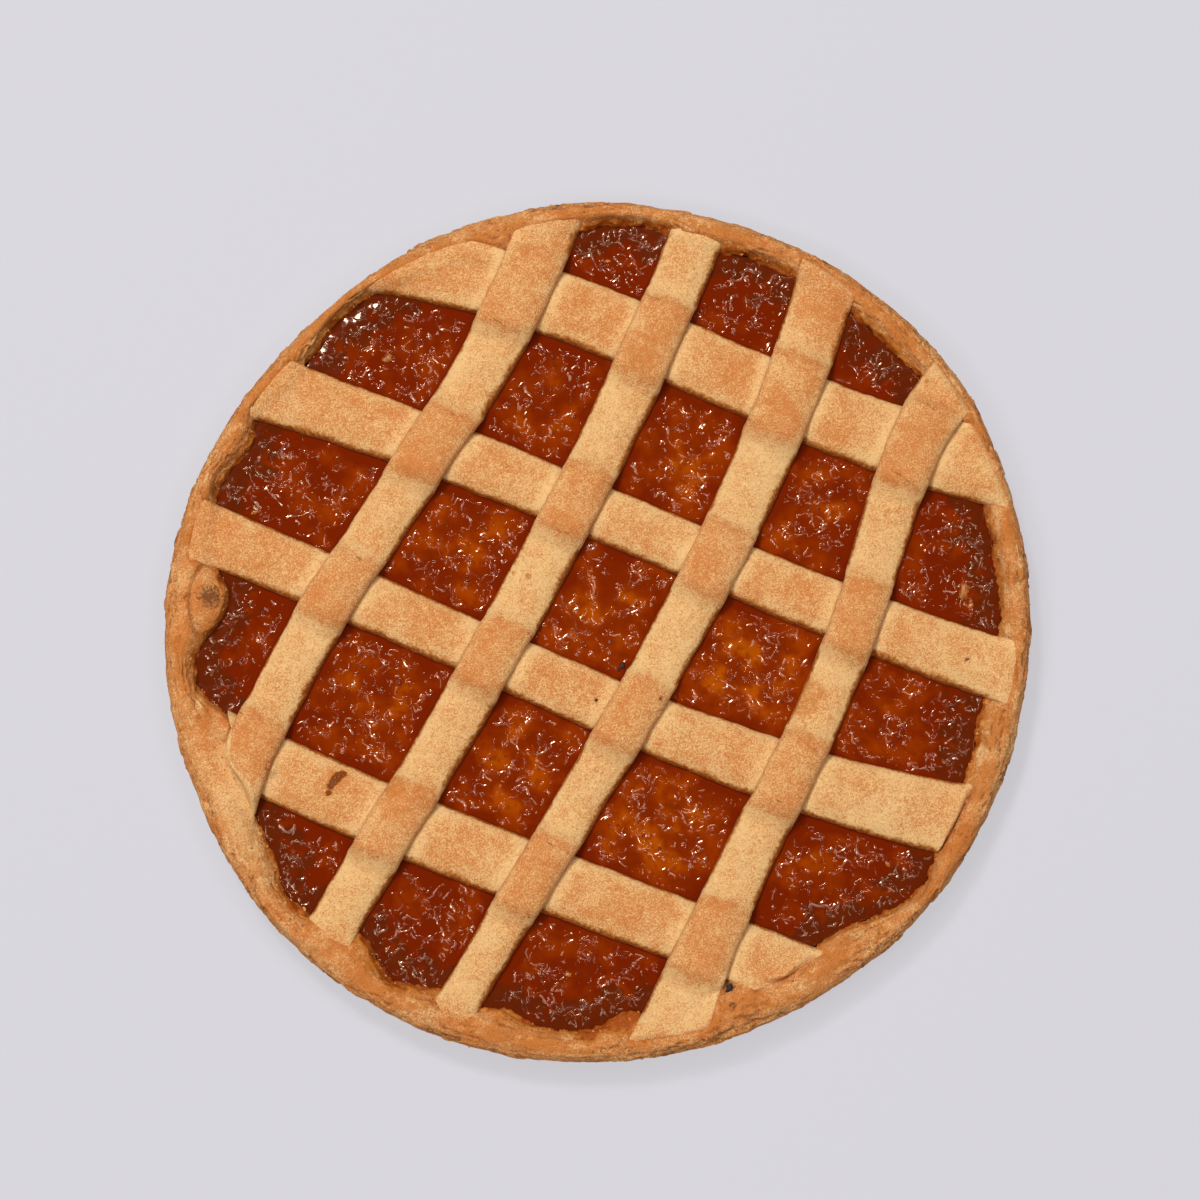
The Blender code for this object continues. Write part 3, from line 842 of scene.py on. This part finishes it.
# Lays a colour over another where share is high
def paint(tree, below, share, hexColor):
    return blendColor(tree, share, below, linear(hexColor))


def pattern(tree, place, size, detail=3.0, roughness=0.55, kind="3D"):
    return addNode(tree, "ShaderNodeTexNoise", {"noise_dimensions": kind}, {
        "Vector": place, "Scale": perMetre(size), "Detail": detail, "Roughness": roughness}).outputs["Fac"]


# Distance to the nearest cell's middle, as a share of the spacing, and two random numbers per cell
def cellPattern(tree, place, spacing, randomness=1.0, kind="3D"):
    cells = addNode(tree, "ShaderNodeTexVoronoi", {"voronoi_dimensions": kind}, {
        "Vector": place, "Scale": perMetre(spacing), "Randomness": randomness}).outputs
    chances = addNode(tree, "ShaderNodeSeparateColor", {}, {0: cells["Color"]}).outputs
    return cells["Distance"], chances[0], chances[1]


# Blotches that add from -amount to amount
def mottle(tree, place, size, amount):
    return ramp(tree, pattern(tree, place, size), 0.3, 0.7, -amount, amount)


pastry = {
    "pale": "#F2C684",
    "toasted": "#D47E3A",
    "speck": "#8E5626",
    "soakedAndShaded": "#A05010",
    "drop": "#7C3400",
    "burnt": "#4A2412",
    "jammy": "#C47424",
    "shadedCrack": "#8C5020",
    "rusty": "#C87228",
    "layerLine": "#A36A34",
    "pitShade": "#8A4A1A",
    "char": "#5E2E10",
    "amber": "#AC5008",
    "grain": 0.48,
    "grainHeight": 0.42,
    "speckSpacing": 1.2,
    "pitSpacing": 3.0,
    "roughness": 0.85,
}


# Baked shortcrust: matt and sandy, with bran and sugar specks; the same grain for crust and lattice.
# Gives the colour and the height in mm
def shortcrust(tree, place, toast):
    toast = plus(tree, toast, mottle(tree, place, 9.0, 0.2))
    sand = pattern(tree, place, pastry["grain"], 3.0, 0.7)
    coarse = pattern(tree, place, 2.0, 3.0, 0.65)
    toast = plus(tree, toast, ramp(tree, sand, 0.3, 0.7, -0.72, 0.72))
    toast = plus(tree, toast, ramp(tree, coarse, 0.3, 0.7, -0.2, 0.2))
    color = blendColor(tree, ramp(tree, toast, -0.2, 1.5), linear(pastry["pale"]), linear(pastry["toasted"]))
    # pin specks, one in a few cells of the pattern
    distance, chosen, _ = cellPattern(tree, place, pastry["speckSpacing"])
    dot = times(tree, ramp(tree, distance, 0.17, 0.06), ramp(tree, chosen, 0.42, 0.7))
    color = paint(tree, color, times(tree, dot, 0.75), pastry["speck"])
    height = times(tree, sand, pastry["grainHeight"])
    height = plus(tree, height, times(tree, coarse, 0.35))
    return color, height


# Finish a material: colour, height in mm, roughness and index of refraction
def finish(tree, shader, color, height, roughness, ior):
    bump = addNode(tree, "ShaderNodeBump", {}, {"Strength": 1.0, "Distance": mm, "Height": height})
    tree.links.new(color, shader.inputs["Base Color"])
    tree.links.new(bump.outputs[0], shader.inputs["Normal"])
    tree.links.new(roughness, shader.inputs["Roughness"])
    shader.inputs["IOR"].default_value = ior


def latticePastry():
    material, tree, shader = newMaterial("baked_shortcrust_lattice")
    place = addNode(tree, "ShaderNodeTexCoord").outputs["Object"]
    wet = attribute(tree, "wet")
    toast = plus(tree, attribute(tree, "toast"), times(tree, wet, 0.4))
    color, height = shortcrust(tree, place, toast)
    # jam drawn into the dough along the sides, together with painted shade on the front sides that face away
    # from the key lamp
    soakAndShade = plus(tree, attribute(tree, "soakAndShade"), mottle(tree, place, 1.1, 0.3))
    color = paint(tree, color, ramp(tree, soakAndShade, 0.05, 0.7, 0.0, 0.8), pastry["jammy"])
    soakAndShade = ramp(tree, soakAndShade, 0.5, 1.15)
    color = paint(tree, color, soakAndShade, pastry["soakedAndShaded"])
    jammy = ramp(tree, plus(tree, wet, mottle(tree, place, 1.4, 0.2)), 0.25, 1.1)
    color = paint(tree, color, jammy, pastry["jammy"])
    color = paint(tree, color, ramp(tree, wet, 1.1, 2.0, 0.0, 0.9), pastry["drop"])
    # fine cracks where the strip bends, broken by the grain, darkened with painted shade
    broken = ramp(tree, pattern(tree, place, 3.2), 0.42, 0.62)
    line = times(tree, ramp(tree, attribute(tree, "shadedCrack"), 0.4, 0.05), broken)
    color = paint(tree, color, times(tree, line, 0.6), pastry["shadedCrack"])
    color = paint(tree, color, attribute(tree, "burnt"), pastry["burnt"])
    height = minus(tree, height, times(tree, line, 0.3))
    shine = combine(tree, "MAXIMUM", soakAndShade, jammy)
    roughness = ramp(tree, shine, 0.0, 1.0, pastry["roughness"], 0.35)
    roughness = minus(tree, roughness, ramp(tree, wet, 1.1, 2.0, 0.0, 0.22))
    finish(tree, shader, color, height, roughness, 1.35)
    return material


def crustPastry():
    material, tree, shader = newMaterial("baked_shortcrust_crust")
    place = addNode(tree, "ShaderNodeTexCoord").outputs["Object"]
    color, height = shortcrust(tree, place, plus(tree, attribute(tree, "toast"), 0.4))
    rusty = ramp(tree, pattern(tree, place, 7.0, 5.0, 0.68), 0.41, 0.55)
    rusty = times(tree, rusty, ramp(tree, attribute(tree, "calm"), 0.0, 1.0, 0.75, 0.1))
    rusty = times(tree, rusty, ramp(tree, attribute(tree, "wall"), 0.0, 1.0, 1.0, 0.5))
    color = paint(tree, color, rusty, pastry["rusty"])
    # thin darker lines between the layers of the side
    layer = addNode(tree, "ShaderNodeMath", {"operation": "FRACT"}, {
        0: times(tree, attribute(tree, "layer"), 2.0)}).outputs[0]
    line = times(tree, ramp(tree, layer, 0.45, 0.95), attribute(tree, "wall"))
    line = times(tree, line, ramp(tree, pattern(tree, place, 4.0), 0.45, 0.7))
    color = paint(tree, color, times(tree, line, 0.45), pastry["layerLine"])
    # painted shade: a darker colour in the rim's cracks, along the flap's outline and in the strips' seams
    grooveShade = plus(tree, attribute(tree, "grooveShade"), mottle(tree, place, 0.8, 0.25))
    grooveShade = ramp(tree, grooveShade, 0.3, 1.0)
    color = paint(tree, color, times(tree, grooveShade, 0.6), pastry["shadedCrack"])
    # small pits in the rim, darkened with painted shade
    distance, _, chosen = cellPattern(tree, place, pastry["pitSpacing"])
    pitShade = times(tree, ramp(tree, distance, 0.14, 0.07), ramp(tree, chosen, 0.68, 0.76))
    color = paint(tree, color, times(tree, pitShade, 0.8), pastry["pitShade"])
    # jam soaked into the inner slope: amber, then dark at the jam
    ragged = ramp(tree, pattern(tree, place, 1.6), 0.35, 0.65, -0.25, 0.2)
    stain = plus(tree, attribute(tree, "stain"), ragged)
    color = paint(tree, color, ramp(tree, stain, 0.1, 0.6), pastry["jammy"])
    color = paint(tree, color, ramp(tree, stain, 0.5, 0.95), pastry["amber"])
    scorch = attribute(tree, "scorch")
    color = paint(tree, color, ramp(tree, scorch, 0.0, 0.9, 0.0, 0.6), "#B0703A")
    speckled = plus(tree, scorch, ramp(tree, pattern(tree, place, 0.8), 0.3, 0.7, -0.7, 0.3))
    scorch = ramp(tree, speckled, 0.0, 0.7)
    color = paint(tree, color, times(tree, scorch, 0.7), pastry["char"])
    height = minus(tree, height, times(tree, pitShade, 0.15))
    height = minus(tree, height, times(tree, line, 0.25))
    finish(tree, shader, color, height, ramp(tree, stain, 0.3, 1.0, pastry["roughness"], 0.35), 1.35)
    return material


jamLook = {
    "amber": "#973600",
    "deep": "#741E00",
    "bright": "#BE5A02",
    "crusty": "#5A1F04",
    "roughness": 0.07,
    "dryRoughness": 0.12,
    "ior": 1.47,
    # light leaves the ridges warmed by the jam under them
    "glint": "#FFE1C3",
    "gloss": 0.8,
    # wrinkles: size of the cells, half width of a ridge, share that is open
    "wrinkles": [(5.6, 0.36, 0.5), (3.5, 0.3, 0.4)],
    # bubbles' rims: spacing, radius, half width, share
    "rings": [(3.7, 1.05, 0.3, 0.55)],
    "slope": 0.28,
    "warp": 3.4,
    "crowding": 0.17,
    "fine": 0.008,
    "grit": 0.035,
    "patch": 9.0,
}


# Raises a roof-shaped ridge where away is small and the breaking pattern is high
def ridge(tree, height, away, halfWidth, breaking, crowd, share):
    level = plus(tree, breaking, crowd)
    threshold = 0.635 + 0.25 * (0.5 - share)
    broken = ramp(tree, level, threshold, threshold + 0.07)
    rise = combine(tree, "MAXIMUM", minus(tree, halfWidth, away), 0.0)
    lines = times(tree, rise, broken)
    return lines if height is None else combine(tree, "MAXIMUM", height, lines)


# Cooked apricot jam: clear amber over fruit pulp, glossy, its skin wrinkled and set with bubbles
def apricotJam():
    material, tree, shader = newMaterial("cooked_apricot_jam")
    place = addNode(tree, "ShaderNodeTexCoord").outputs["Object"]
    toStrip = attribute(tree, "toStrip")
    toRim = attribute(tree, "toRim")
    near = combine(tree, "MINIMUM", toStrip, toRim)
    cloud = pattern(tree, place, 11.0, 2.0, kind="2D")
    pulp = pattern(tree, place, 2.4, 3.0, kind="2D")
    depth = plus(tree, ramp(tree, near, 0.0, 5.0, -0.2, 0.18),
                    ramp(tree, cloud, 0.3, 0.7, 0.0, 0.8))
    depth = plus(tree, depth, attribute(tree, "sunny"))
    color = blendColor(tree, depth, linear(jamLook["deep"]), linear(jamLook["amber"]))
    glow = times(tree, ramp(tree, depth, 0.55, 1.3), ramp(tree, near, 2.5, 8.0))
    color = paint(tree, color, times(tree, glow, 0.8), jamLook["bright"])
    color = paint(tree, color, ramp(tree, pulp, 0.5, 0.72, 0.0, 0.5), jamLook["deep"])
    ragged = pattern(tree, place, 6.0, 2.0, kind="2D")
    dry = plus(tree, ramp(tree, toRim, 17.0, 2.0), ramp(tree, ragged, 0.3, 0.7, -0.4, 0.35))
    dry = ramp(tree, dry, 0.3, 0.85)
    color = paint(tree, color, times(tree, dry, 0.8), jamLook["crusty"])

    # wrinkles of the skin: roof-shaped ridges along the edges of warped cells, broken into
    # hooks, loops and double lines, crowded in patches
    warp = addNode(tree, "ShaderNodeTexNoise", {"noise_dimensions": "2D"}, {
        "Vector": place, "Scale": perMetre(4.2), "Detail": 0.0})
    pushed = shiftFrom(tree, warp, jamLook["warp"] * mm)
    warped = addNode(tree, "ShaderNodeVectorMath", {"operation": "ADD"}, {0: place, 1: pushed}).outputs[0]
    patch = ramp(tree, pattern(tree, place, jamLook["patch"], 2.0, kind="2D"), 0.44, 0.6)
    patch = combine(tree, "MAXIMUM", patch, times(tree, dry, 0.6))
    crowd = times(tree, patch, jamLook["crowding"])
    height = None
    for size, halfWidth, share in jamLook["wrinkles"]:
        cells = addNode(tree, "ShaderNodeTexVoronoi", {
            "feature": "DISTANCE_TO_EDGE", "voronoi_dimensions": "2D"}, {
            "Vector": warped, "Scale": perMetre(size), "Randomness": 1.0})
        away = times(tree, cells.outputs["Distance"], size)
        breaking = pattern(tree, place, size * 0.85, 0.0, kind="2D")
        height = ridge(tree, height, away, halfWidth, breaking, crowd, share)
    for spacing, radius, halfWidth, share in jamLook["rings"]:
        distance, chosen, _ = cellPattern(tree, warped, spacing, 0.9, "2D")
        ringRadius = ramp(tree, chosen, 0.0, 1.0, radius * 0.45, radius * 1.3)
        away = times(tree, distance, spacing)
        away = minus(tree, away, ringRadius)
        away = addNode(tree, "ShaderNodeMath", {"operation": "ABSOLUTE"}, {0: away}).outputs[0]
        breaking = pattern(tree, place, spacing * 0.75, 0.0, kind="2D")
        height = ridge(tree, height, away, halfWidth, breaking, crowd, share)
    height = times(tree, height, jamLook["slope"])
    grain = times(tree, pattern(tree, place, 0.9, 1.0, kind="2D"),
                    times(tree, patch, jamLook["fine"]))
    height = plus(tree, height, grain)
    openShare = ramp(tree, plus(tree, near, ramp(tree, cloud, 0.3, 0.7, -1.0, 1.0)), 0.8, 2.4)
    height = times(tree, height, openShare)
    grit = times(tree, pattern(tree, place, 1.3, 2.0, kind="2D"),
                   ramp(tree, dry, 0.0, 1.0, 0.0, jamLook["grit"]))
    height = plus(tree, height, grit)
    shader.inputs["Specular IOR Level"].default_value = jamLook["gloss"]
    shader.inputs["Specular Tint"].default_value = linear(jamLook["glint"])
    roughness = ramp(tree, dry, 0.0, 1.0, jamLook["roughness"], jamLook["dryRoughness"])
    finish(tree, shader, color, height, roughness, jamLook["ior"])
    return material


def plainCrumb(name, color, roughness):
    material, tree, shader = newMaterial(name)
    place = addNode(tree, "ShaderNodeTexCoord").outputs["Object"]
    tone = pattern(tree, place, 1.1, 2.0)
    shade = blendColor(tree, ramp(tree, tone, 0.35, 0.65), linear(color[0]), linear(color[1]))
    tree.links.new(shade, shader.inputs["Base Color"])
    shader.inputs["Roughness"].default_value = roughness
    shader.inputs["IOR"].default_value = 1.42
    bump = addNode(tree, "ShaderNodeBump", {}, {
        "Strength": 1.0, "Distance": 0.1 * mm, "Height": pattern(tree, place, 0.4)})
    tree.links.new(bump.outputs[0], shader.inputs["Normal"])
    return material


def settle(piece, material=None, nodes=()):
    if material is not None:
        piece.data.materials.clear()
        piece.data.materials.append(material)
    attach(piece, "root")
    if nodes:
        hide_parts(*nodes)


print("materials")
latticeMaterial = latticePastry()
crustMaterial = crustPastry()
jamMaterial = apricotJam()
crumbMaterial = plainCrumb("shortcrust_crumbs", ("#D6964F", "#B06C30"), 0.85)
flakeMaterial = plainCrumb("shortcrust_flakes", ("#DA9C54", "#BC7836"), 0.8)
burntMaterial = plainCrumb("burnt_sugar", ("#1A0E08", "#341A0E"), 0.6)
fruitMaterial = plainCrumb("apricot_flesh", ("#B86A1C", "#8C4410"), 0.2)
bubbleMaterial = plainCrumb("jam_bubbles", ("#8A3000", "#6A1C00"), 0.06)

print("crust")
crustShell = buildCrust()
settle(crustShell, crustMaterial, ["crust"])

print("jam")
jamFilling = buildJam()
settle(jamFilling, jamMaterial, ["apricot_jam"])

print("strips")
for strip in allStrips:
    dough = buildStrip(strip)
    settle(dough, latticeMaterial, [strip.name])

print("burnt drops and fruit")
burntDrops = buildLumps("burnt_drops", lumps["burnt"], 51)
settle(burntDrops, burntMaterial)
fruitBits = buildLumps("fruit_bits", lumps["fruit"], 52)
settle(fruitBits, fruitMaterial)

print("crumbs, flakes and bubbles")
crumbs = scatter("rim_crumbs", crustShell, crumbMaterial)
settle(crumbs)
flakes = scatter("side_flakes", crustShell, flakeMaterial)
settle(flakes)
bubbles = scatter("jam_bubbles", jamFilling, bubbleMaterial)
settle(bubbles)

studio = {
    "floorColor": "#757478",
    "floorGlow": "#BAB9BD",
    "floorSize": 4.0,
    "cameraDistance": 0.95,
    "cameraTilt": 5.0,
    "frameWidth": 360.1,
    "aim": (0.69, 7.9),
    # azimuth, elevation, distance, size, power
    "lamps": [(118, 60, 1.5, 0.24, 8.2), (205, 60, 1.5, 0.24, 2.9)],
    # a soft ring of light round the overhead camera, brighter on the key lamp's side
    "ring": 3.9,
    "ringSpan": (0.905, 0.810),
    "ringLean": 0.35,
    "zenith": 0.02,
    "horizon": 0.12,
}


def makeFloor():
    bpy.ops.mesh.primitive_plane_add(size=studio["floorSize"])
    floor = bpy.context.object
    floor.name = "table_top"
    material, _, shader = newMaterial("pale_table")
    shader.inputs["Base Color"].default_value = linear(studio["floorColor"])
    shader.inputs["Emission Color"].default_value = linear(studio["floorGlow"])
    shader.inputs["Emission Strength"].default_value = 1.0
    shader.inputs["Roughness"].default_value = 0.9
    shader.inputs["Specular IOR Level"].default_value = 0.1
    floor.data.materials.append(material)


def makeLights():
    for number, (azimuth, elevation, distance, size, power) in enumerate(studio["lamps"]):
        lamp = bpy.data.lights.new(f"lamp_{number}", "AREA")
        lamp.shape = "DISK"
        lamp.size = size
        lamp.energy = power
        holder = bpy.data.objects.new(f"lamp_{number}", lamp)
        bpy.context.scene.collection.objects.link(holder)
        turn, rise = math.radians(azimuth), math.radians(elevation)
        holder.location = (distance * math.cos(rise) * math.cos(turn),
                           distance * math.cos(rise) * math.sin(turn), distance * math.sin(rise))
        holder.rotation_euler = (math.pi / 2.0 - rise, 0.0, turn + math.pi / 2.0)
    world = bpy.data.worlds.new("studio")
    bpy.context.scene.world = world
    world.use_nodes = True
    tree = world.node_tree
    direction = addNode(tree, "ShaderNodeTexCoord").outputs["Generated"]
    way = addNode(tree, "ShaderNodeSeparateXYZ", {}, {0: direction}).outputs
    upper, lower = studio["ringSpan"]
    keyTurn = math.radians(studio["lamps"][0][0])
    lean = plus(tree, times(tree, way["X"], math.cos(keyTurn)),
                 times(tree, way["Y"], math.sin(keyTurn)))
    strength = ramp(tree, lean, -0.6, 0.6, studio["ring"] * (1.0 - studio["ringLean"]),
                    studio["ring"] * (1.0 + studio["ringLean"]))
    ring = times(tree, ramp(tree, way["Z"], upper + 0.012, upper - 0.012),
                 ramp(tree, way["Z"], lower - 0.02, lower + 0.02))
    level = ramp(tree, way["Z"], lower - 0.1, lower, studio["horizon"], studio["zenith"])
    level = plus(tree, level, times(tree, ring, strength))
    tree.nodes["Background"].inputs["Color"].default_value = linear("#FBFAFF")
    tree.links.new(level, tree.nodes["Background"].inputs["Strength"])


def makeCamera():
    lens = bpy.data.cameras.new("camera")
    camera = bpy.data.objects.new("camera", lens)
    bpy.context.scene.collection.objects.link(camera)
    bpy.context.scene.camera = camera
    tilt = math.radians(studio["cameraTilt"])
    distance = studio["cameraDistance"]
    lens.sensor_width = 36.0
    lens.lens = 36.0 * distance / (studio["frameWidth"] * mm)
    lens.clip_end = 20.0
    level = tart["rimTop"] * mm
    target = ((studio["aim"][0] - middle[0]) * mm, (studio["aim"][1] - middle[1]) * mm, level)
    camera.location = (target[0], target[1] - distance * math.sin(tilt),
                       target[2] + distance * math.cos(tilt))
    camera.rotation_euler = (tilt, 0.0, 0.0)


print("studio")
makeFloor()
makeLights()
makeCamera()
bpy.context.scene.view_settings.view_transform = "Standard"
